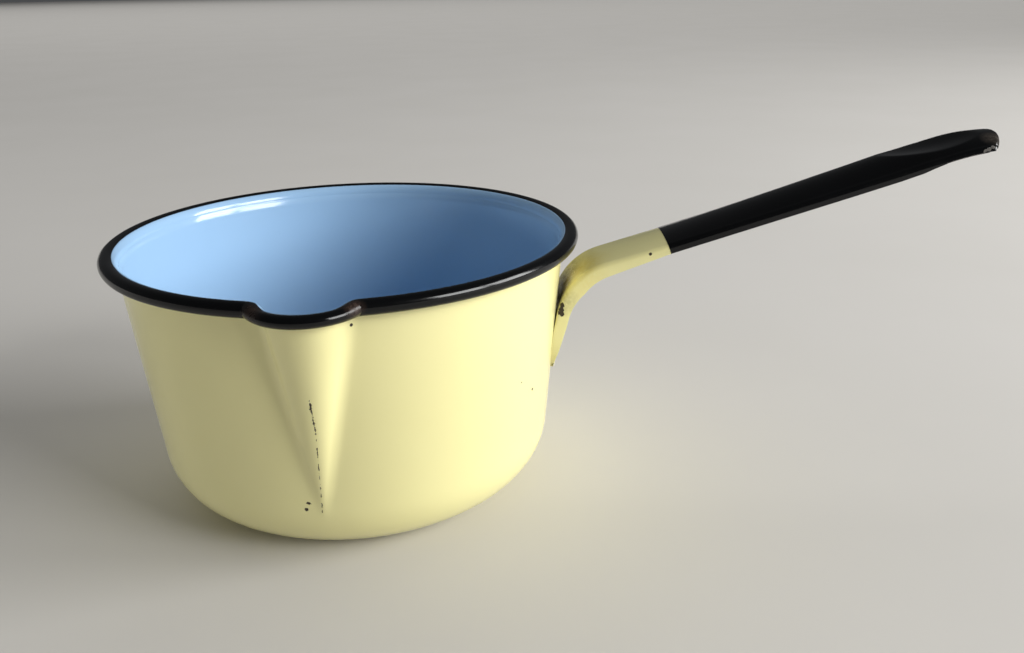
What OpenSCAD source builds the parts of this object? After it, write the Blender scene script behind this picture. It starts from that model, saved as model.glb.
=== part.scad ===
// Enamelled steel milk pan: a drawn vessel with a rolled rim and a pressed pouring lip,
// and a pressed channel handle welded to its wall. Millimetres, +Z up. The origin is the
// centre of the base on the surface it stands on, +X runs out along the handle, and the
// pouring lip faces -Y.

/* [Vessel] */
// Outside diameter over the rolled rim
rim_d = 170; // [164:1:180]
// Height from the standing surface to the top of the rim
pan_h = 96; // [92:1:104]
// Thickness of the rolled rim
roll_d = 5; // [4.6:0.1:5.6]
// Outside radius that the wall would have at the standing surface
foot_r = 70.8; // [68:0.1:72]
// Radius of the corner between base and wall
corner_r = 23.5; // [18:0.5:26]
// Sheet steel thickness of the vessel
sheet_t = 0.8; // [0.6:0.1:1]
// Thickness of one fired enamel coat
coat_t = 0.3; // [0.2:0.05:0.4]

/* [Pouring lip] */
// How far the lip stands out from the round rim
lip_out = 9; // [7:0.5:10]
// How far the lip's edge dips below the rim
lip_drop = 0.8; // [0.4:0.1:1.2]
// Radius of the lip along the middle of its rolled edge
lip_r = 16.5; // [15:0.5:18]
// Height on the wall at which the lip's fold runs out
lip_foot_z = 16; // [12:1:22]

/* [Handle] */
// Slope of the grip above level, in degrees
grip_slope = 19; // [15:0.2:20]
// Distance from the pan's centre to the grip's far end
reach = 233.5; // [220:0.5:250]
// Distance from the pan's centre to the edge between the yellow and the black coat
boundary_x = 116; // [108:1:124]
// Width of the neck
neck_w = 26.5; // [24:0.5:28]
// Width of the thumb leaf near the far end
leaf_w = 36; // [32:0.5:38]
// Height of the foot's lower end on the wall
foot_z = 42.5; // [40:0.5:50]
// Height at which the handle leaves the wall
bend_z = 64.2; // [60:0.5:66]
// Radius of the bend, on the face towards the wall
bend_r = 24; // [20:1:26]
// Sheet steel thickness of the handle
strap_t = 1.2; // [1:0.1:1.4]
// Depth of the thumb dish
dish_depth = 3.4; // [1:0.2:4]

/* [Hidden] */
$fn = 96;
wall_t = sheet_t + 2 * coat_t;
roll_r = roll_d / 2;
roll_x = rim_d / 2 - roll_r;
roll_z = pan_h - roll_r;
// The wall stands this far inside the roll, which fixes its slope.
wall_gap = 0.3;
top_r = roll_x - roll_r - wall_gap;
wall_a = atan((top_r - foot_r) / roll_z);
// The rounded shoulder inside the rim runs from the wall's inner face to the roll's top.
shoulder_r = roll_r + wall_gap + wall_t;
shoulder_z = pan_h - shoulder_r;
// The sheet bridges from the wall to the roll above this height.
bridge_z = roll_z - 1;
// The black rim coat comes this far down the shoulder from the roll's top.
black_in = shoulder_r * sin(35);
// Centre of the corner arc, where it touches both the base and the leaning wall.
corner_x = foot_r + corner_r * tan(wall_a) - corner_r / cos(wall_a);
lip_angle = -90;
far = 2 * rim_d;
eps = 0.01;

// ---- Vessel ----

// Filled outline of the round cup up to the height top, d inside the outer face.
module cup_2d(d, top) {
    r = corner_r - d;
    intersection() {
        union() {
            translate([corner_x, corner_r]) circle(r);
            polygon([
                [0, d],
                [corner_x, d],
                [corner_x + r * cos(wall_a), corner_r - r * sin(wall_a)],
                [foot_r + top * tan(wall_a) - d / cos(wall_a), top],
                [0, top]
            ]);
        }
        square([rim_d, far]);
    }
}

module cup(d, top) {
    rotate_extrude() cup_2d(d, top);
}

module below(z) {
    translate([-far / 2, -far / 2, z - far]) cube(far);
}

// The lip's fold is a leaning cone. Its outer edge starts flush with the corner near the
// base and ends under the lip's rolled edge.
lip_x = roll_x + lip_out - lip_r;
lip_tip_r = 1.2;
lip_foot_x = corner_x + sqrt(pow(corner_r, 2) - pow(corner_r - lip_foot_z, 2)) - lip_tip_r;
lip_h = roll_z - lip_foot_z;
lip_lean = atan((lip_x - lip_foot_x) / lip_h);
lip_len = lip_h / cos(lip_lean);
lip_flare = (lip_r - roll_r - wall_gap - lip_tip_r) / lip_len;
lip_flare_a = atan(lip_flare);

// The cone, d inside the outer face, as tall as the rim and a little more.
module lip_cone(d) {
    inset = d / cos(lip_flare_a);
    skip = max(0, (inset - lip_tip_r) / lip_flare + 0.5);
    length = lip_len + 5;
    rotate([0, 0, lip_angle]) translate([lip_foot_x, 0, lip_foot_z]) rotate([0, lip_lean, 0])
        translate([0, 0, skip])
            cylinder(h = length - skip, r1 = lip_tip_r - inset + skip * lip_flare,
                     r2 = lip_tip_r - inset + length * lip_flare);
}

// Sets a ring of the lip at its place.
module at_lip() {
    rotate([0, 0, lip_angle]) translate([lip_x, 0, -lip_drop]) children();
}

// The roll and the shoulder that joins it to the wall, d inside their faces, as a full
// ring whose roll has the radius r. The hollow cuts away what crosses the pan or the lip.
module ring_run(r, d) {
    rotate_extrude() translate([r, 0]) {
        translate([0, roll_z]) circle(roll_r - d);
        intersection() {
            translate([0, shoulder_z]) circle(shoulder_r - d);
            translate([-shoulder_r, bridge_z + d]) square([shoulder_r, shoulder_r]);
        }
    }
}

module rim(d) {
    difference() {
        union() {
            ring_run(roll_x, d);
            at_lip() ring_run(lip_r, d);
        }
        cavity(d);
    }
}

// The space above and inside the shoulder of one rim run of radius r, d beyond its face.
module flare(r, d) {
    difference() {
        translate([0, 0, shoulder_z - eps]) cylinder(h = 2 * shoulder_r, r = r);
        rotate_extrude() translate([r, shoulder_z]) circle(shoulder_r - d);
    }
}

// The pan's hollow, d beyond the inner face.
module cavity(d) {
    cup(wall_t - d, shoulder_z);
    flare(roll_x, d);
    intersection() {
        lip_cone(wall_t - d);
        below(shoulder_z - lip_drop);
    }
    at_lip() flare(lip_r, d);
}

// Everything inside the outer faces up to the height top, d below them.
module outer_body(d, top) {
    cup(d, top);
    intersection() {
        lip_cone(d);
        below(top - lip_drop);
    }
}

// The side of the middle of one rim run's wall that is blue up to the black rim coat.
module blue_run(r) {
    translate([0, 0, roll_z - roll_d]) cylinder(h = roll_d, r = r - shoulder_r + wall_t / 2);
    translate([0, 0, roll_z]) cylinder(h = roll_d, r = r - black_in);
}

module blue_side() {
    blue_run(roll_x);
    at_lip() blue_run(lip_r);
}

module vessel() {
    color([0.45, 0.45, 0.44]) difference() {
        union() {
            outer_body(coat_t, roll_z);
            ring_run(roll_x, coat_t);
            at_lip() ring_run(lip_r, coat_t);
        }
        cavity(coat_t);
    }
}

module outer_enamel() {
    color([0.93, 0.89, 0.58]) difference() {
        outer_body(0, bridge_z);
        outer_body(coat_t, roll_z);
        weld_pads();
    }
}

module inner_enamel() {
    color([0.52, 0.70, 0.88]) difference() {
        intersection() {
            cavity(coat_t);
            union() {
                below(shoulder_z - lip_drop);
                blue_side();
            }
        }
        cavity(0);
    }
}

module rim_enamel() {
    color([0.06, 0.06, 0.06]) difference() {
        rim(0);
        rim(coat_t);
        outer_body(coat_t, roll_z);
        blue_side();
    }
}

// ---- Handle ----

// The handle's middle line runs up the wall, round the bend, straight along the grip and
// over a gentle droop at the far end. Each point is [x, z].
wall_heading = 90 - wall_a;
droop_r = 98;
droop_a = 18.5;
deg = PI / 180;
foot_len = (bend_z - foot_z) / cos(wall_a);
bend_len = bend_r * (wall_heading - grip_slope) * deg;
droop_len = droop_r * droop_a * deg;
foot_start = wall_point(foot_z);
bend_start = wall_point(bend_z);
bend_end = bend_start + arc_step(bend_r, wall_heading, grip_slope);
droop_step = arc_step(droop_r, grip_slope, grip_slope - droop_a);
grip_len = (reach - droop_step[0] - bend_end[0]) / cos(grip_slope);
droop_start = bend_end + grip_len * [cos(grip_slope), sin(grip_slope)];
bend_s = foot_len + bend_len;
droop_s = bend_s + grip_len;
end_s = droop_s + droop_len;
boundary_s = bend_s + (boundary_x - bend_end[0]) / cos(grip_slope);

// The place of the foot's sheet, one coat off the wall at the height z.
function wall_point(z) = [foot_r + z * tan(wall_a) + coat_t / cos(wall_a), z];

// Travel along an arc of radius r that turns clockwise from one heading to another.
function arc_step(r, from, to) = r * [sin(from) - sin(to), cos(to) - cos(from)];

function heading(s) =
    s < foot_len ? wall_heading :
    s < bend_s ? wall_heading - (s - foot_len) / bend_r / deg :
    s < droop_s ? grip_slope : grip_slope - (s - droop_s) / droop_r / deg;

function middle(s) =
    s < foot_len ? foot_start + s * [cos(wall_heading), sin(wall_heading)] :
    s < bend_s ? bend_start + arc_step(bend_r, wall_heading, heading(s)) :
    s < droop_s ? bend_end + (s - bend_s) * [cos(grip_slope), sin(grip_slope)] :
    droop_start + arc_step(droop_r, grip_slope, heading(s));

// Half the width over the coat: a rounded foot, a slim neck, a leaf and a rounded end.
foot_round = 13;
end_round = 17;
function half_width(s) =
    min(
        lookup(s, [
            [foot_len, neck_w / 2],
            [boundary_s, neck_w / 2],
            [droop_s, leaf_w / 2]
        ]),
        foot_round * sqrt(max(0.25, 1 - pow(1 - min(1, (s + 1) / foot_round), 2))),
        leaf_w / 2 * sqrt(max(0.04, 1 - pow(1 - min(1, (end_s - s) / end_round), 2)))
    );

// How far the side edges lie below the middle: hollow on the wall, crowned on the grip.
function crown(s) = lookup(s, [
    [foot_len - 6, -pow(neck_w / 2, 2) / 2 / (foot_r + 5)],
    [bend_s, 0.5],
    [boundary_s, 1.9],
    [droop_s - 14, 6.1],
    [end_s, 2.3]
]);

// Depth of the side flanges below the crowned face.
function flange(s) = lookup(s, [
    [0, 1],
    [foot_len - 4, 4.4],
    [foot_len + bend_len / 2, 6],
    [bend_s + 4, 4.6],
    [boundary_s, 3.1],
    [droop_s - 20, 1.9],
    [droop_s - 4, 3],
    [end_s, 1.9]
]);

// The thumb dish, an oval hollow in the leaf.
dish_s = end_s - 27;
dish_half_len = 19;
dish_half_w = 12.5;
function dish(s, t) =
    let (q = pow((s - dish_s) / dish_half_len, 2) + pow(t / dish_half_w, 2))
    q < 1 ? dish_depth * pow(1 - q, 1.3) : 0;

// Outer skin of the steel across the handle at s, as [sideways, up] from the middle.
fold_r = 1.6;
spread = [0.75, 0.5, 0.25];
function skin(s) =
    let (
        w = half_width(s) - coat_t,
        c = crown(s),
        f = min(fold_r, w / 3),
        half = [
            [w, -c - flange(s)],
            [w, -c - f],
            [w - 0.3 * f, -c * pow((w - 0.3 * f) / w, 2) - 0.3 * f],
            [w - f, -c * pow((w - f) / w, 2)],
            for (k = spread) [k * w, -c * pow(k, 2) - dish(s, k * w)]
        ]
    )
    concat(
        [for (p = half) [-p[0], p[1]]],
        [[0, -dish(s, 0)]],
        [for (i = [len(half) - 1 : -1 : 0]) half[i]]
    );

// A skin moved outwards by d, with its two ends lengthened by the same coat.
function moved(p, d, over) = [
    for (i = [0 : len(p) - 1])
        let (
            a = p[max(0, i - 1)],
            b = p[min(len(p) - 1, i + 1)],
            n = [a[1] - b[1], b[0] - a[0]] / norm(b - a),
            last = i == 0 || i == len(p) - 1
        )
        p[i] + d * n + (last ? [0, -over] : [0, 0])
];

// Closed outline of the folded sheet with a coat of thickness g on both faces.
function sheet_loop(s, g) =
    let (
        p = skin(s),
        top = moved(p, g, g),
        under = moved(p, -strap_t - g, g)
    )
    concat(top, [for (i = [len(under) - 1 : -1 : 0]) under[i]]);

// That outline set across the middle line at s, drawn at the place at_s.
function ring(s, g, at_s) =
    let (
        h = heading(at_s),
        m = middle(min(max(at_s, 0), end_s)) + min(0, at_s) * [cos(h), sin(h)]
    )
    [for (p = sheet_loop(s, g)) [m[0] - p[1] * sin(h), p[0], m[1] + p[1] * cos(h)]];

ring_n = len(sheet_loop(0, 0));

// Faces between two rings of ring_n points that start at points a and b.
function band(a, b) = [
    for (i = [0 : ring_n - 1])
        let (j = (i + 1) % ring_n)
        each [[a + i, a + j, b + j], [a + i, b + j, b + i]]
];
function flipped(faces) = [for (f = faces) [f[2], f[1], f[0]]];
// The two ends of the folded sheet: a strip across its thickness.
function cap(a) = [
    for (i = [0 : ring_n / 2 - 2])
        let (j = ring_n - 1 - i)
        each [[a + i, a + i + 1, a + j - 1], [a + i, a + j - 1, a + j]]
];

neck_steps = concat(
    [0, 1.5, 4, 8, 13],
    [for (k = [0 : 5]) foot_len + k / 5 * bend_len],
    [boundary_s]
);
grip_steps = concat(
    [boundary_s],
    [for (k = [1 : 4]) boundary_s + k / 5 * (dish_s - dish_half_len - boundary_s)],
    [for (k = [0 : 7]) dish_s - dish_half_len + k / 7 * (2 * dish_half_len - 8)],
    [for (k = [3 : -1 : 0]) end_s - end_round * (1 - cos(k * 18 + 4))]
);

// One coat round the steel from the first step to the last, closed over the sheet's end.
module coat(steps, closes_first, closes_last) {
    n = len(steps);
    last = n - 1;
    outer = [
        for (i = [0 : last])
            ring(steps[i], coat_t, steps[i] - (i == 0 && closes_first ? coat_t : 0))
    ];
    inner = [
        for (i = [0 : last])
            ring(steps[i], 0, steps[i] - (i == last && closes_last ? coat_t : 0))
    ];
    points = [for (r = concat(outer, inner)) each r];
    inside = n * ring_n;
    faces = concat(
        [for (i = [0 : last - 1]) each band(i * ring_n, (i + 1) * ring_n)],
        [for (i = [0 : last - 1])
            each flipped(band(inside + i * ring_n, inside + (i + 1) * ring_n))],
        closes_first ? concat(flipped(cap(0)), cap(inside)) : flipped(band(0, inside)),
        closes_last
            ? concat(cap(last * ring_n), flipped(cap(inside + last * ring_n)))
            : band(last * ring_n, inside + last * ring_n)
    );
    polyhedron(points, faces, convexity = 6);
}

module handle() {
    steps = concat(neck_steps, [for (i = [1 : len(grip_steps) - 1]) grip_steps[i]]);
    last = len(steps) - 1;
    points = [
        for (i = [0 : last]) each ring(steps[i], 0, steps[i] - (i == last ? coat_t : 0))
    ];
    faces = concat(
        [for (i = [0 : last - 1]) each band(i * ring_n, (i + 1) * ring_n)],
        flipped(cap(0)),
        cap(last * ring_n)
    );
    color([0.5, 0.5, 0.49]) polyhedron(points, faces, convexity = 6);
}

module neck_enamel() {
    color([0.93, 0.89, 0.58]) difference() {
        coat(neck_steps, true, false);
        weld_pads();
    }
}

module grip_enamel() {
    color([0.05, 0.05, 0.05]) coat(grip_steps, false, true);
}

// Two spot welds join the foot's sheet to the wall's sheet through the coats.
weld_r = 2.5;
weld_heights = [foot_z + 7, bend_z - 5];
module weld_pads() {
    for (z = weld_heights)
        translate([wall_point(z)[0], 0, z]) rotate([0, 90 - wall_a, 0])
            translate([0, 0, -4 * coat_t]) cylinder(h = 4 * coat_t, r = weld_r);
}

module handle_welds() {
    color([0.35, 0.27, 0.2]) difference() {
        weld_pads();
        outer_body(coat_t, roll_z, $fn = 240);
    }
}

vessel();
outer_enamel();
inner_enamel();
rim_enamel();
handle();
neck_enamel();
grip_enamel();
handle_welds();
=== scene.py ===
import math

import bmesh
import bpy
from mathutils import Matrix, Vector


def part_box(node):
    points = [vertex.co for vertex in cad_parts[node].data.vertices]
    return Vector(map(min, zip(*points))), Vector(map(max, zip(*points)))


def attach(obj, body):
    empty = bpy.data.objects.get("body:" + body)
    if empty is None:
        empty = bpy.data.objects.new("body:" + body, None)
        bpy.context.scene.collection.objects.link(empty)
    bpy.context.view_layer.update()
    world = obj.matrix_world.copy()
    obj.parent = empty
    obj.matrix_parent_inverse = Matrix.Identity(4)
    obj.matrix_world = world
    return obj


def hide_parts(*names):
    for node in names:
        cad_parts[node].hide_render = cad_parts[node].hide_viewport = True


mm = 0.001

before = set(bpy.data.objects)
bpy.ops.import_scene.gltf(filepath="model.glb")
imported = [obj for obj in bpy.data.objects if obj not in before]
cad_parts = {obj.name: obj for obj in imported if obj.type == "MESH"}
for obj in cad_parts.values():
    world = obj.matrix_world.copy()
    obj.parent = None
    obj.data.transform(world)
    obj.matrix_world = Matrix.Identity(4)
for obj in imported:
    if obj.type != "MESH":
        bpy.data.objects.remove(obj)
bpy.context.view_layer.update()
print("frame loaded")


# Camera: close, a little above the rim, seen from the lip's side and tipped down 20 degrees
camera = {
    "place": (0.05889, -0.33398, 0.18152),  # metres
    "yaw": 0.0040,      # radians, from +Y towards +X
    "pitch": 0.3584,    # down
    "roll": -0.0199,
    "lens": 32.81,      # mm on a 36 mm sensor
}


def makeCamera(c):
    yaw, pitch, roll = c["yaw"], c["pitch"], c["roll"]
    ahead = Vector((math.sin(yaw) * math.cos(pitch), math.cos(yaw) * math.cos(pitch), -math.sin(pitch)))
    level = Vector((math.cos(yaw), -math.sin(yaw), 0))
    upright = level.cross(ahead)
    right = math.cos(roll) * level + math.sin(roll) * upright
    up = math.cos(roll) * upright - math.sin(roll) * level
    data = bpy.data.cameras.new("camera")
    data.sensor_fit = "HORIZONTAL"
    data.sensor_width = 36
    data.lens = c["lens"]
    data.clip_start = 0.01
    item = bpy.data.objects.new("camera", data)
    bpy.context.scene.collection.objects.link(item)
    turn = Matrix((right, up, -ahead)).transposed().to_4x4()
    item.matrix_world = Matrix.Translation(Vector(c["place"])) @ turn
    bpy.context.scene.camera = item


makeCamera(camera)
print("camera placed")


# Sizes shared by the pieces, in millimetres, taken from the frame where it has them
rimLow, rimHigh = [Vector(corner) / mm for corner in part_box("rim_enamel")]
gripHigh = Vector(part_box("grip_enamel")[1]) / mm

vessel = {
    "height": rimHigh.z,
    "rimRadius": rimHigh.x,
    "lipReach": -rimLow.y,
    "rollRadius": 2.5,
    "wallGap": 0.3,         # between the wall and the roll
    "footRadius": 70.8,     # the wall's slope meets the standing surface here
    "cornerRadius": 23.5,
    "wall": 1.4,            # steel and both coats
    "coat": 0.3,
    "bridgeDrop": 1.0,      # below the roll's middle the roll is free of the wall
    "blackInside": 35,      # degrees past the roll's top
    "turns": 480,
    "lipCrowding": 0.6,     # how far the steps crowd towards the lip
}
lip = {
    "radius": 16.5,
    "drop": 0.8,
    "footHeight": 16,
    "tipRadius": 1.2,
    "crease": 1.0,          # softness of the two corners beside the lip
    "creaseAtFoot": 0.3,    # share of it that is left at the fold's foot
    "halfSpread": 60,       # degrees either side of the lip that the fold can reach
    "thinning": 0.16,       # how much thinner the roll is at the lip
    "tilt": 0.026,          # radians by which the fold's foot stands to one side
}

rollX = vessel["rimRadius"] - vessel["rollRadius"]
rollZ = vessel["height"] - vessel["rollRadius"]
wallTop = rollX - vessel["rollRadius"] - vessel["wallGap"]
wallLean = math.atan((wallTop - vessel["footRadius"]) / rollZ)
shoulder = vessel["rollRadius"] + vessel["wallGap"] + vessel["wall"]
shoulderZ = vessel["height"] - shoulder
cornerX = vessel["footRadius"] + vessel["cornerRadius"] * (math.tan(wallLean) - 1 / math.cos(wallLean))
lipX = vessel["lipReach"] - vessel["rollRadius"] - lip["radius"]
pathOut = vessel["rollRadius"] + vessel["wallGap"]  # the rim's path runs this far outside the wall
cornerRise = vessel["cornerRadius"] - lip["footHeight"]
lipFootX = cornerX + math.sqrt(vessel["cornerRadius"] ** 2 - cornerRise ** 2)
lipFootX -= lip["tipRadius"]


def smoothStep(low, high, value):
    t = min(1, max(0, (value - low) / (high - low)))
    return t * t * (3 - 2 * t)


def pathRadius(angle, z):
    # Distance from the pan's centre to the rim's path at the height z. The angle is
    # measured from the lip.
    z = min(z, rollZ)
    rise = (z - lip["footHeight"]) / (rollZ - lip["footHeight"])
    roundR = vessel["footRadius"] + z * math.tan(wallLean) + pathOut
    centre = lipFootX + rise * (lipX - lipFootX)
    spread = lip["tipRadius"] + rise * (lip["radius"] - pathOut - lip["tipRadius"]) + pathOut
    angle += lip["tilt"] * (1 - rise)
    if math.cos(angle) < math.cos(math.radians(lip["halfSpread"])) or spread < 0:
        return roundR
    inside = spread ** 2 - (centre * math.sin(angle)) ** 2
    lipR = centre * math.cos(angle) + math.copysign(math.sqrt(abs(inside)), inside)
    left = lip["creaseAtFoot"]
    soft = lip["crease"] * (left + (1 - left) * smoothStep(0, 1, rise))
    return (roundR + lipR + math.hypot(roundR - lipR, soft)) / 2 - soft ** 2 / 40


def pathPoint(angle, z):
    r = pathRadius(angle, z)
    return Vector((r * math.sin(angle), -r * math.cos(angle), 0))


def onVessel(co):
    # Carries a point of the round pan to its place on the pan with the lip.
    r, z = math.hypot(co.x, co.y), co.z
    angle = math.atan2(co.x, -co.y)
    angle -= vessel["lipCrowding"] * math.sin(angle)
    baseR = 0.5 * vessel["footRadius"]  # inside this the base stays as it was spun
    level = min(z, rollZ)
    roundR = vessel["footRadius"] + level * math.tan(wallLean) + pathOut
    out = r - roundR
    if r < baseR:
        return Vector((r * math.sin(angle), -r * math.cos(angle), z))
    place = pathPoint(angle, z)
    step = 0.004  # radians
    along = pathPoint(angle + step, z) - pathPoint(angle - step, z)
    normal = Vector((along.y, -along.x, 0)).normalized()
    atLip = smoothStep(0.5, 6, pathRadius(angle, rollZ) - rollX)
    high = smoothStep(70, 90, z)
    thin = 1 - lip["thinning"] * atLip * high
    outward = out * (thin if out > -1 else 1)
    top = vessel["height"]
    lifted = top - (top - z) * thin if z > rollZ - 3 and out > -pathOut + 0.2 else z
    place = place + outward * normal
    place.z = lifted - lip["drop"] * atLip * high
    keep = smoothStep(baseR, 0.8 * vessel["footRadius"], r)
    plain = Vector((r * math.sin(angle), -r * math.cos(angle), z))
    return plain.lerp(place, keep)


def arc(centreR, centreZ, radius, start, end, count):
    # Points of an arc in the section plane, angles in degrees from outwards.
    return [
        (centreR + radius * math.cos(math.radians(a)), centreZ + radius * math.sin(math.radians(a)))
        for a in (start + (end - start) * i / count for i in range(count + 1))
    ]


def wallProfile(inset, top):
    # From the middle of the base, round the corner and up the wall, inset from the outer face.
    radius = vessel["cornerRadius"] - inset
    lean = math.degrees(wallLean)
    points = [(r, inset) for r in (0, 8, 18, 28, 36, 42, 46)]
    points += arc(cornerX, vessel["cornerRadius"], radius, -90, -lean, 16)
    startR, startZ = points[-1]
    steps = 26
    for i in range(1, steps + 1):
        z = startZ + (top - startZ) * i / steps
        points.append((startR + (z - startZ) * math.tan(wallLean), z))
    return points


def spunShell(name, profile, thickness, material):
    # Spins a section about the pan's axis, carries it round the lip and gives it a wall.
    bm = bmesh.new()
    corners = [bm.verts.new((r, 0, z)) for r, z in profile]
    edges = [bm.edges.new(pair) for pair in zip(corners, corners[1:])]
    bmesh.ops.spin(
        bm, geom=corners + edges, cent=(0, 0, 0), axis=(0, 0, 1), angle=math.tau,
        steps=vessel["turns"], use_merge=True,
    )
    bmesh.ops.remove_doubles(bm, verts=bm.verts, dist=0.001)
    for v in bm.verts:
        v.co = onVessel(v.co) * mm
    bmesh.ops.recalc_face_normals(bm, faces=bm.faces)
    return finished(name, bm, material, thickness)


def finished(name, bm, material, thickness=0):
    for face in bm.faces:
        face.smooth = True
    mesh = bpy.data.meshes.new(name)
    bm.to_mesh(mesh)
    bm.free()
    piece = bpy.data.objects.new(name, mesh)
    bpy.context.scene.collection.objects.link(piece)
    if thickness:
        solidify = piece.modifiers.new("coat", "SOLIDIFY")
        solidify.thickness = thickness * mm
        solidify.offset = -1
    mesh.materials.append(material)
    return piece


def linear(hexText):
    parts = [int(hexText[i:i + 2], 16) / 255 for i in (1, 3, 5)]
    return tuple(p / 12.92 if p <= 0.04045 else ((p + 0.055) / 1.055) ** 2.4 for p in parts) + (1,)


def addNode(tree, kind, settings=None, **inputs):
    # One node with its settings; an input is a value, a colour or another node's socket.
    node = tree.nodes.new("ShaderNode" + kind)
    for key, value in (settings or {}).items():
        setattr(node, key, value)
    for key, value in inputs.items():
        socket = node.inputs[int(key[1:]) if key[0] == "i" and key[1:].isdigit() else key.replace("_", " ")]
        if isinstance(value, bpy.types.NodeSocket):
            tree.links.new(value, socket)
        else:
            socket.default_value = value
    return node


def newMaterial(name):
    material = bpy.data.materials.new(name)
    material.use_nodes = True
    material.node_tree.nodes.clear()
    return material, material.node_tree


firing = {
    "grain": 1.2,           # mm, the raggedness of a chip's edge and of the oxide in it
    "haze": 9.0,            # mm, patches that use has dulled
    "peel": 1.5,            # mm across, the fired glass's orange peel
    "peelHeight": 0.0015,   # mm
    "chipDepth": 0.12,      # mm
    "wornRoughness": 0.7,
    "oxide": "#15110E",
}


def enamel(name, look):
    # Vitreous enamel fired on steel: a glassy coat, slightly wavy, with tiny pits, that
    # chips down to dark oxidised steel.
    material, tree = newMaterial(name)
    place = addNode(tree, "TexCoord").outputs["Object"]

    broad = addNode(tree, "TexNoise", Vector=place, Scale=1 / (look["cloud"] * mm), Detail=3.0)
    tone = addNode(tree, "MixRGB", {"blend_type": "MIX"}, Fac=broad.outputs[0],
                   Color1=linear(look["colour"]), Color2=linear(look["cloudColour"]))
    colour = tone.outputs[0]

    # Pits and specks of about a third of a millimetre
    spacing = look["speckSpacing"]
    cells = addNode(tree, "TexVoronoi", {"feature": "F1"}, Vector=place, Scale=1 / (spacing * mm))
    pick = addNode(tree, "SeparateColor", Color=cells.outputs["Color"])
    rare = addNode(tree, "Math", {"operation": "LESS_THAN"}, i0=pick.outputs[0], i1=look["speckShare"])
    near = addNode(tree, "Math", {"operation": "LESS_THAN"}, i0=cells.outputs["Distance"],
                   i1=look["speckSize"] / spacing)
    chip = addNode(tree, "Math", {"operation": "MULTIPLY"}, i0=rare.outputs[0], i1=near.outputs[0]).outputs[0]

    grain = addNode(tree, "TexNoise", Vector=place, Scale=1 / (firing["grain"] * mm), Detail=4.0)
    for spot in look["chips"]:
        chip = addNode(tree, "Math", {"operation": "MAXIMUM"}, i0=chip,
                       i1=chipMask(tree, place, grain.outputs[0], spot)).outputs[0]
    for line in look.get("scratches", []):
        chip = addNode(tree, "Math", {"operation": "MAXIMUM"}, i0=chip,
                       i1=scratchMask(tree, place, line)).outputs[0]

    rust = addNode(tree, "MixRGB", Fac=grain.outputs[0], Color1=linear(firing["oxide"]),
                   Color2=linear(look["chipColour"]))
    colour = addNode(tree, "MixRGB", Fac=chip, Color1=colour, Color2=rust.outputs[0]).outputs[0]
    worn = chip
    # Stains and wear, and also painted shade in the handle's crevice and a painted reflection on its bend,
    # laid over the colour; the matt ones also dull the gloss
    for stainAndPaintedLight in look.get("stainsAndPaintedLight", []):
        mask = stainAndPaintedLightMask(tree, place, grain.outputs[0], stainAndPaintedLight)
        if stainAndPaintedLight.get("matt", True):
            worn = addNode(tree, "Math", {"operation": "MAXIMUM"}, i0=worn, i1=mask).outputs[0]
        colour = addNode(tree, "MixRGB", Fac=mask, Color1=colour, Color2=linear(stainAndPaintedLight["colour"])).outputs[0]

    # Gloss a little uneven from use
    haze = addNode(tree, "TexNoise", Vector=place, Scale=1 / (firing["haze"] * mm), Detail=5.0)
    smoothest, dullest = look["roughness"]
    gloss = addNode(tree, "MapRange", i0=haze.outputs[0], i1=0.35, i2=0.7, i3=smoothest, i4=dullest)
    matt = addNode(tree, "Math", {"operation": "MULTIPLY"}, i0=worn, i1=firing["wornRoughness"])
    rough = addNode(tree, "Math", {"operation": "MAXIMUM"}, i0=gloss.outputs[0], i1=matt.outputs[0])

    # Long waves bend the reflections; the fine ones are the fired glass's orange peel
    waves = addNode(tree, "TexNoise", Vector=place, Scale=1 / (look["wave"] * mm), Detail=1.0)
    longBump = addNode(tree, "Bump", Height=waves.outputs[0], Strength=1.0, Distance=look["waveHeight"] * mm)
    peel = addNode(tree, "TexNoise", Vector=place, Scale=1 / (firing["peel"] * mm), Detail=2.0)
    fineBump = addNode(tree, "Bump", Height=peel.outputs[0], Strength=1.0,
                       Distance=firing["peelHeight"] * mm, Normal=longBump.outputs[0])
    sunk = addNode(tree, "Bump", {"invert": True}, Height=chip, Strength=1.0,
                   Distance=firing["chipDepth"] * mm, Normal=fineBump.outputs[0])

    shader = addNode(tree, "BsdfPrincipled", Base_Color=colour, Roughness=rough.outputs[0], IOR=1.52,
                     Specular_IOR_Level=look["specular"], Normal=sunk.outputs[0])
    addNode(tree, "OutputMaterial", Surface=shader.outputs[0])
    return material


def chipMask(tree, place, grain, spot):
    # A ragged patch about a point, radius in mm.
    centre = [v * mm for v in spot["at"]]
    widest = 1.6 * spot["size"] * mm
    apart = addNode(tree, "VectorMath", {"operation": "DISTANCE"}, i0=place, i1=centre)
    ragged = addNode(tree, "Math", {"operation": "MULTIPLY_ADD"}, i0=grain, i1=-widest, i2=widest)
    inside = addNode(tree, "Math", {"operation": "LESS_THAN"}, i0=apart.outputs["Value"],
                     i1=ragged.outputs[0])
    return inside.outputs[0]


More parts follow.
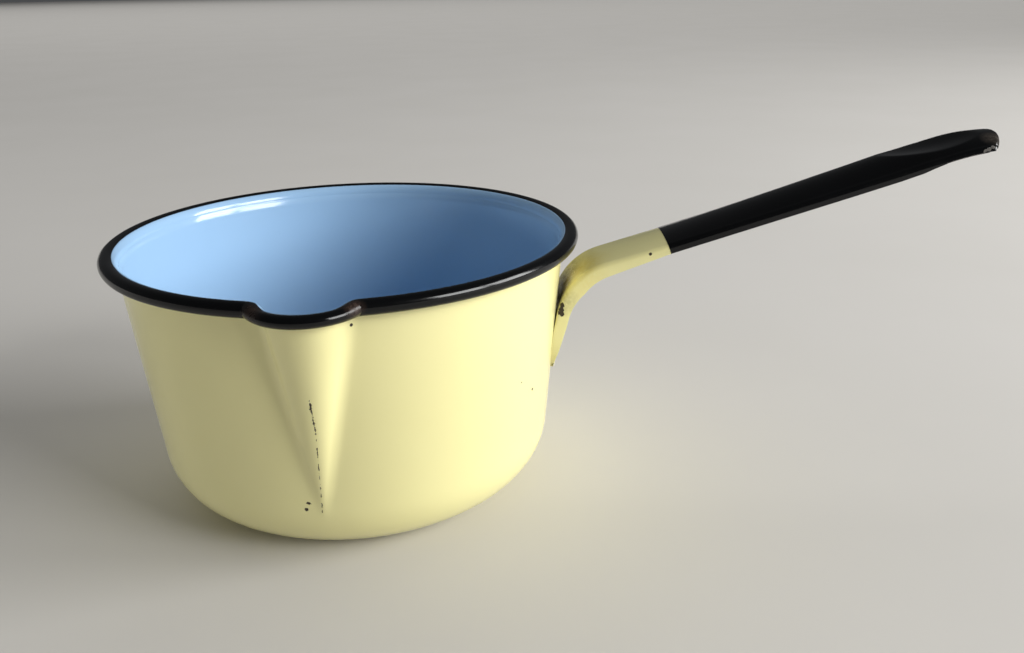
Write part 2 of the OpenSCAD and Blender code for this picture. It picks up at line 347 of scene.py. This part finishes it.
def scratchMask(tree, place, line):
    # Broken wear along a line between two points, from how far a place lies from that line.
    start, end = Vector(line["start"]) * mm, Vector(line["end"]) * mm
    way = (end - start).normalized()
    offset = addNode(tree, "VectorMath", {"operation": "SUBTRACT"}, i0=place, i1=start)
    along = addNode(tree, "VectorMath", {"operation": "DOT_PRODUCT"}, i0=offset.outputs[0], i1=way)
    foot = addNode(tree, "VectorMath", {"operation": "SCALE"}, i0=way, Scale=along.outputs["Value"])
    aside = addNode(tree, "VectorMath", {"operation": "DISTANCE"}, i0=offset.outputs[0], i1=foot.outputs[0])
    broken = addNode(tree, "TexNoise", Vector=place, Scale=1 / (2.2 * mm), Detail=6.0, Roughness=0.7)
    wide = addNode(tree, "MapRange", i0=broken.outputs[0], i1=line["gap"], i2=line["gap"] + 0.2,
                   i3=0.0, i4=line["width"] * mm)
    close = addNode(tree, "Math", {"operation": "LESS_THAN"}, i0=aside.outputs["Value"], i1=wide.outputs[0])
    after = addNode(tree, "Math", {"operation": "GREATER_THAN"}, i0=along.outputs["Value"], i1=0.0)
    length = (end - start).length
    before = addNode(tree, "Math", {"operation": "LESS_THAN"}, i0=along.outputs["Value"], i1=length)
    both = addNode(tree, "Math", {"operation": "MULTIPLY"}, i0=after.outputs[0], i1=before.outputs[0])
    worn = addNode(tree, "Math", {"operation": "MULTIPLY"}, i0=close.outputs[0], i1=both.outputs[0])
    return worn.outputs[0]


def stainAndPaintedLightMask(tree, place, grain, stainAndPaintedLight):
    # A soft patch that fades out from a point, used for real stains and wear and also for painted shade and a
    # painted reflection.
    centre = [v * mm for v in stainAndPaintedLight["at"]]
    apart = addNode(tree, "VectorMath", {"operation": "DISTANCE"}, i0=place, i1=centre)
    fade = addNode(tree, "MapRange", i0=apart.outputs["Value"], i1=stainAndPaintedLight["size"] * mm, i2=0.0,
                   i3=0.0, i4=stainAndPaintedLight["depth"])
    uneven = addNode(tree, "MapRange", i0=grain, i1=0.3, i2=0.6, i3=0.4, i4=1.0)
    patch = addNode(tree, "Math", {"operation": "MULTIPLY"}, i0=fade.outputs[0], i1=uneven.outputs[0])
    return patch.outputs[0]


yellowLook = {
    "colour": "#EEE8AC", "cloudColour": "#E9E2A4", "cloud": 60,
    "speckSpacing": 9, "speckShare": 0.035, "speckSize": 0.35,
    "roughness": (0.10, 0.17), "wave": 28, "waveHeight": 0.10,
    "chipColour": "#4A3B2C", "specular": 0.5,
    "chips": [
        {"at": (-6.45, -72.9, 24.6), "size": 0.9}, {"at": (-7.4, -72.5, 22.2), "size": 0.8},
        {"at": (66.9, -34.3, 45.6), "size": 0.7}, {"at": (13.1, -78.6, 87.4), "size": 0.6},
        {"at": (110.2, -13.0, 87.8), "size": 0.7}, {"at": (78.3, -12.7, 65.9), "size": 1.4},
        {"at": (78.5, -12.6, 67.4), "size": 1.2}, {"at": (78.7, -12.4, 69.0), "size": 1.1},
        {"at": (76.2, -12.6, 58.6), "size": 0.5},
    ],
    "scratches": [
        {"start": (-0.5, -82.56, 65.5), "end": (-0.2, -79.7, 52.5), "width": 0.55, "gap": 0.42},
        {"start": (-0.2, -79.7, 52.5), "end": (-2.3, -72.9, 21.0), "width": 0.4, "gap": 0.5},
        {"start": (77.6, -12.8, 64.8), "end": (76.0, -12.6, 56.8), "width": 0.3, "gap": 0.4},
    ],
    "stainsAndPaintedLight": [
        # Rust in the crevice where the handle's foot leaves the wall, made darker still as painted shade of
        # that crevice
        {"at": (78.8, -7, 70.5), "size": 9, "depth": 0.95, "colour": "#2B2113"},
        {"at": (80.6, -2, 74.6), "size": 9, "depth": 0.95, "colour": "#33260F"},
        {"at": (81.0, 5, 75.5), "size": 10, "depth": 0.9, "colour": "#33260F"},
        {"at": (78.0, 10, 69), "size": 9, "depth": 0.9, "colour": "#2B2113"},
        # Painted reflected light: the wall's yellow bouncing onto the bend of the neck as a deeper, more
        # saturated yellow, left glossy
        {"at": (86.0, -5, 80.5), "size": 13, "depth": 0.6, "colour": "#DCC552", "matt": False},
    ],
}
blueLook = {
    "colour": "#9CBEDD", "cloudColour": "#95B8D8", "cloud": 50,
    "speckSpacing": 11, "speckShare": 0.02, "speckSize": 0.3,
    "roughness": (0.10, 0.18), "wave": 26, "waveHeight": 0.10,
    "chipColour": "#3A3A3C", "specular": 0.5,
    "chips": [],
}
blackLook = {
    "colour": "#040405", "cloudColour": "#08090A", "cloud": 30,
    "speckSpacing": 8, "speckShare": 0.02, "speckSize": 0.3,
    "roughness": (0.12, 0.22), "wave": 14, "waveHeight": 0.03,
    "chipColour": "#827E78", "specular": 0.32,
    "chips": [
        {"at": (224.6, -13.2, 122.3), "size": 0.9}, {"at": (226.0, -13.1, 122.8), "size": 1.1},
        {"at": (227.6, -12.7, 123.6), "size": 0.9},
    ],
    "stainsAndPaintedLight": [
        {"at": (-14.2, -86.3, 94.8), "size": 4.5, "depth": 0.8, "colour": "#33261F"},
        {"at": (-12.6, -88.6, 93.8), "size": 4, "depth": 0.6, "colour": "#2C2320"},
        {"at": (15.6, -84.8, 94.9), "size": 4.0, "depth": 0.8, "colour": "#4A3A32"},
        {"at": (229.5, -8, 126.1), "size": 5, "depth": 0.6, "colour": "#5A524A"},
        {"at": (228.8, 6, 126.2), "size": 6, "depth": 0.6, "colour": "#5A524A"},
    ],
}

yellowEnamel = enamel("vitreous enamel, pale yellow", yellowLook)
blueEnamel = enamel("vitreous enamel, sky blue", blueLook)
blackEnamel = enamel("vitreous enamel, black", blackLook)


def steelMaterial(name, colour, roughness):
    # Pressed low-carbon steel as it is under the enamel: dull grey, faintly mottled by oxide.
    material, tree = newMaterial(name)
    place = addNode(tree, "TexCoord").outputs["Object"]
    mottle = addNode(tree, "TexNoise", Vector=place, Scale=1 / (4 * mm), Detail=4.0)
    tone = addNode(tree, "MixRGB", Fac=mottle.outputs[0], Color1=linear(colour), Color2=linear("#4B4743"))
    spread = 0.08
    rough = addNode(tree, "MapRange", i0=mottle.outputs[0], i1=0.3, i2=0.7,
                    i3=roughness - spread, i4=roughness + spread)
    shader = addNode(tree, "BsdfPrincipled", Base_Color=tone.outputs[0], Metallic=1.0,
                     Roughness=rough.outputs[0])
    addNode(tree, "OutputMaterial", Surface=shader.outputs[0])
    return material


bareSteel = steelMaterial("low-carbon steel, pressed", "#8C8985", 0.42)
print("materials made")


def makePan():
    coat = vessel["coat"]
    bridgeZ = rollZ - vessel["bridgeDrop"]

    outer = spunShell("outerCoat", wallProfile(0, bridgeZ + 0.4), coat, yellowEnamel)

    steelProfile = wallProfile(coat, bridgeZ + 0.4)
    steel = spunShell("drawnSteel", steelProfile, vessel["wall"] - 2 * coat, bareSteel)

    # The blue coat runs up the wall and a little way under the black on the shoulder
    inner = wallProfile(vessel["wall"], shoulderZ)
    inner += arc(rollX, shoulderZ, shoulder + 0.03, 178, 90 + vessel["blackInside"] - 4, 12)
    blue = spunShell("innerCoat", inner, coat, blueEnamel)

    # The black coat covers the roll from the crevice under it to the shoulder inside
    under = math.degrees(math.asin(-vessel["bridgeDrop"] / vessel["rollRadius"]))
    black = arc(rollX, rollZ, vessel["rollRadius"], -180 - under, 90, 30)
    black += arc(rollX, shoulderZ, shoulder, 90, 90 + vessel["blackInside"], 8)[1:]
    rim = spunShell("rimCoat", black, coat, blackEnamel)
    return outer, steel, blue, rim


outerCoat, drawnSteel, innerCoat, rimCoat = makePan()
print("pan made")


handle = {
    "slope": 19.0,          # degrees
    "reach": gripHigh.x - 0.1,
    "boundary": 116.0,      # where the yellow meets the black
    "neckWidth": 26.5,
    "leafWidth": 36.0,
    "footZ": 42.5,
    "bendZ": 64.2,
    "bendRadius": 24.0,
    "droopRadius": 98.0,
    "droop": 18.5,
    "footRound": 13.0,
    "endRound": 17.0,
    "endBlend": 55.0,       # the rows bend towards the round end over this length
    "steel": 1.2,
    "foldRadius": 1.8,
    "footFold": 0.3,        # the fold is tight along the foot
    "footBite": 0.35,       # the foot is fused this far into the wall's coat
    "flangeLeast": 0.2,
    "lap": 0.8,             # the black runs this far over the yellow
    "rowSpacing": 0.9,
    "dishDepth": 2.8, "dishBack": 24.6, "dishHalfLength": 17.5, "dishHalfWidth": 8.3,
    "dishAside": -0.5,      # towards the pouring lip
    "dishSkew": -0.1,
}

heading0 = 90 - math.degrees(wallLean)
footLength = (handle["bendZ"] - handle["footZ"]) / math.cos(wallLean)
bendLength = handle["bendRadius"] * math.radians(heading0 - handle["slope"])
droopLength = handle["droopRadius"] * math.radians(handle["droop"])


def wallPoint(z):
    return Vector((vessel["footRadius"] + z * math.tan(wallLean) + vessel["coat"] / math.cos(wallLean), z))


def arcStep(radius, start, end):
    a, b = math.radians(start), math.radians(end)
    return radius * Vector((math.sin(a) - math.sin(b), math.cos(b) - math.cos(a)))


def direction(angle):
    return Vector((math.cos(math.radians(angle)), math.sin(math.radians(angle))))


bendStart = wallPoint(handle["bendZ"])
bendEnd = bendStart + arcStep(handle["bendRadius"], heading0, handle["slope"])
droopStep = arcStep(handle["droopRadius"], handle["slope"], handle["slope"] - handle["droop"])
gripLength = (handle["reach"] - droopStep[0] - bendEnd[0]) / math.cos(math.radians(handle["slope"]))
droopStart = bendEnd + gripLength * direction(handle["slope"])
bendS = footLength + bendLength
droopS = bendS + gripLength
endS = droopS + droopLength
boundaryS = bendS + (handle["boundary"] - bendEnd[0]) / math.cos(math.radians(handle["slope"]))
dishS = endS - handle["dishBack"]


def heading(s):
    if s < footLength:
        return heading0
    if s < bendS:
        return heading0 - math.degrees((s - footLength) / handle["bendRadius"])
    if s < droopS:
        return handle["slope"]
    return handle["slope"] - math.degrees((s - droopS) / handle["droopRadius"])


def middle(s):
    if s < footLength:
        return wallPoint(handle["footZ"]) + s * direction(heading0)
    if s < bendS:
        return bendStart + arcStep(handle["bendRadius"], heading0, heading(s))
    if s < droopS:
        return bendEnd + (s - bendS) * direction(handle["slope"])
    return droopStart + arcStep(handle["droopRadius"], handle["slope"], heading(s))


def linearly(s, stops):
    if s <= stops[0][0]:
        return stops[0][1]
    for (s0, v0), (s1, v1) in zip(stops, stops[1:]):
        if s <= s1:
            return v0 + (v1 - v0) * (s - s0) / (s1 - s0)
    return stops[-1][1]


def halfWidth(s):
    neck, leaf = handle["neckWidth"] / 2, handle["leafWidth"] / 2
    side = linearly(s, [(footLength, neck), (boundaryS, neck), (droopS + 8, leaf)])
    foot = handle["footRound"] * math.sqrt(max(0.25, 1 - (1 - min(1, (s + 1) / handle["footRound"])) ** 2))
    return min(side, foot)


def roundEnd(across):
    # How far the leaf's round end falls back at this distance from the middle.
    q = min(1, abs(across) / (handle["leafWidth"] / 2))
    return handle["endRound"] * (1 - math.sqrt(1 - q * q))


def crown(s):
    hollow = -(handle["neckWidth"] / 2) ** 2 / 2 / (vessel["footRadius"] + 5)
    return linearly(s, [
        (footLength - 6, hollow), (bendS, 0.5), (boundaryS, 1.9), (droopS - 24, 5.1), (droopS - 8, 5.9),
        (droopS + 8, 6.2), (endS, 3.8),
    ])


def flange(s):
    return linearly(s, [
        (0, 1), (footLength - 4, 4.4), (footLength + bendLength / 2, 6),
        (bendS + 4, 4.6), (boundaryS, 3.1), (droopS - 24, 2.2), (droopS, 1.7),
        (droopS + 10, 0.4), (endS, 0.3),
    ])


def dish(s, t):
    along = s - dishS
    aside = t - handle["dishAside"] - handle["dishSkew"] * along
    q = (along / handle["dishHalfLength"]) ** 2 + (aside / handle["dishHalfWidth"]) ** 2
    return handle["dishDepth"] * (1 - q) ** 1.2 if q < 1 else 0


foldSteps = 6
crownSteps = 26
flangeSteps = 3


def acrossPoint(s, column, side, inset):
    # Column 0 is the middle; the last one is the flange's edge. Gives (sideways, up).
    w = halfWidth(s) - inset
    c, depth = crown(s), flange(s)
    tight = handle["footFold"]
    f = min(linearly(s, [(0, tight), (footLength - 5, tight), (footLength + 9, handle["foldRadius"])]), w / 3)
    inset -= handle["footBite"] * (1 - smoothStep(footLength - 9, footLength, s))
    if column <= crownSteps:
        t = (w - f) * math.sin(math.pi / 2 * column / crownSteps)
        return t, -c * (t / w) ** 2 - dish(s, side * t) - inset
    edge = -c * ((w - f) / w) ** 2
    if column <= crownSteps + foldSteps:
        a = math.pi / 2 * (column - crownSteps) / foldSteps
        return w - f + f * math.sin(a), edge - f * (1 - math.cos(a)) - inset
    k = (column - crownSteps - foldSteps) / flangeSteps
    return w, edge - f - k * max(handle["flangeLeast"], depth + c - f + edge - inset) - inset


def onHandle(s, column, inset, drop):
    side = -1 if column < 0 else 1
    across, up = acrossPoint(s, abs(column), side, inset)
    h = math.radians(heading(s))
    m = middle(min(s, endS))
    up -= drop
    return Vector((m[0] - up * math.sin(h), side * across, m[1] + up * math.cos(h)))


def pressedStrip(name, start, end, inset, material, rounded):
    # A grid bent to the channel between two places along the handle.
    lastColumn = crownSteps + foldSteps + flangeSteps
    count = round((end - start) / handle["rowSpacing"])
    stops = [(start + (end - start) * i / count, 0) for i in range(count + 1)]
    if rounded:
        f = handle["foldRadius"]
        stops = [(s, 0) for s, _ in stops if s < end - f - 0.3]
        stops += [(end - f + f * math.sin(a), f * (1 - math.cos(a)))
                  for a in (math.pi / 2 * i / foldSteps for i in range(foldSteps + 1))]
    bm = bmesh.new()
    bmesh.ops.create_grid(bm, x_segments=len(stops) - 1, y_segments=2 * lastColumn, size=1)
    for v in bm.verts:
        row = round((v.co.x + 1) / 2 * (len(stops) - 1))
        column = round(v.co.y * lastColumn)
        s, drop = stops[row]
        if end > droopS:
            across = acrossPoint(s, abs(column), 1, inset)[0]
            before = (end - handle["foldRadius"] - s) / handle["endBlend"]
            s -= roundEnd(across) * min(1, max(0, 1 - before))
        # The fold and flange don't turn down a second time
        drop *= min(1, max(0, 1 - (abs(column) - crownSteps) / foldSteps))
        v.co = onHandle(s, column, inset, drop)
    bmesh.ops.recalc_face_normals(bm, faces=bm.faces)
    halfway = Vector((middle((start + end) / 2)[0], 0))
    topFace = min(bm.faces, key=lambda face: (face.calc_center_median().xy - halfway).length)
    if topFace.normal.dot(Vector((-1, 0, 1))) < 0:  # the top face has to look up, away from the channel
        bmesh.ops.reverse_faces(bm, faces=bm.faces)
    bmesh.ops.scale(bm, vec=(mm, mm, mm), verts=bm.verts)
    thickness = handle["steel"] if inset > 0 else handle["steel"] + 2 * vessel["coat"] - 2 * inset
    piece = finished(name, bm, material, thickness)
    rounding = piece.modifiers.new("edge", "BEVEL")  # fired glass draws back to a round edge
    rounding.width = 0.4 * mm
    rounding.segments = 3
    rounding.limit_method = "ANGLE"
    rounding.angle_limit = math.radians(50)
    return piece


neckCoat = pressedStrip("neckCoat", 0, boundaryS + handle["lap"], 0, yellowEnamel, False)
gripCoat = pressedStrip("gripCoat", boundaryS, endS, -0.04, blackEnamel, True)  # laps over the yellow
strap = pressedStrip("strapSteel", 5, endS - 2.5, vessel["coat"], bareSteel, False)
print("handle made")


for piece, node, slot in (
    (outerCoat, "outer_enamel", "yellow_enamel"),
    (drawnSteel, "vessel", "sheet_steel"),
    (innerCoat, "inner_enamel", "blue_enamel"),
    (rimCoat, "rim_enamel", "black_enamel"),
    (neckCoat, "neck_enamel", "yellow_enamel"),
    (gripCoat, "grip_enamel", "black_enamel"),
    (strap, "handle", "sheet_steel"),
):
    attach(piece, "root")
    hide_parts(node)
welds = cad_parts["handle_welds"]
weldSteel = steelMaterial("low-carbon steel, spot welded", "#5A5048", 0.6)
if welds.data.materials:
    welds.data.materials[0] = weldSteel
else:
    welds.data.materials.append(weldSteel)


studio = {
    "floorColour": "#D2CFCA", "floorCloud": "#CCC9C3",
    "sky": "#EDF0F4", "skyStrength": 0.08,
    "lights": {
        "nearPane": {"place": (1.88, -1.05, 0.90), "aim": (0, 0, 0.05), "size": (1.0, 1.0), "power": 40},
        "farPane": {"place": (2.20, 0.00, 0.90), "aim": (0, 0, 0.05), "size": (1.0, 1.0), "power": 40},
        "leftCard": {
            "place": (-1.3, -0.05, 0.12), "aim": (0, 0, 0.05), "size": (1.0, 0.22), "power": 5, "soft": True,
        },
        "farCard": {
            "place": (0.2, 5.5, 2.6), "aim": (0.2, 5.5, 0), "size": (14.0, 9.0), "power": 300, "soft": True,
        },
    },
}


def makeFloor():
    # Matt studio card, faintly uneven
    material, tree = newMaterial("matt card")
    place = addNode(tree, "TexCoord").outputs["Object"]
    tone = addNode(tree, "TexNoise", Vector=place, Scale=6.0, Detail=3.0)
    colour = addNode(tree, "MixRGB", Fac=tone.outputs[0], Color1=linear(studio["floorColour"]),
                     Color2=linear(studio["floorCloud"]))
    shader = addNode(tree, "BsdfPrincipled", Base_Color=colour.outputs[0], Roughness=0.85)
    addNode(tree, "OutputMaterial", Surface=shader.outputs[0])
    bm = bmesh.new()
    bmesh.ops.create_grid(bm, x_segments=1, y_segments=1, size=12)
    floor = finished("floor", bm, material)


def makeLight(name, spec):
    data = bpy.data.lights.new(name, "AREA")
    data.shape = "RECTANGLE"
    data.size, data.size_y = spec["size"]
    data.energy = spec["power"]
    item = bpy.data.objects.new(name, data)
    bpy.context.scene.collection.objects.link(item)
    way = Vector(spec["aim"]) - Vector(spec["place"])
    turn = way.to_track_quat("-Z", "Y").to_matrix().to_4x4()
    item.matrix_world = Matrix.Translation(Vector(spec["place"])) @ turn
    item.visible_glossy = not spec.get("soft", False)  # a card that fills shadows but leaves no reflection


makeFloor()
for name, spec in studio["lights"].items():
    makeLight(name, spec)
world = bpy.data.worlds.new("studio")
bpy.context.scene.world = world
world.use_nodes = True
background = world.node_tree.nodes["Background"]
background.inputs[0].default_value = linear(studio["sky"])
background.inputs[1].default_value = studio["skyStrength"]
bpy.context.scene.view_settings.view_transform = "Standard"
print("studio made")

bpy.context.view_layer.update()
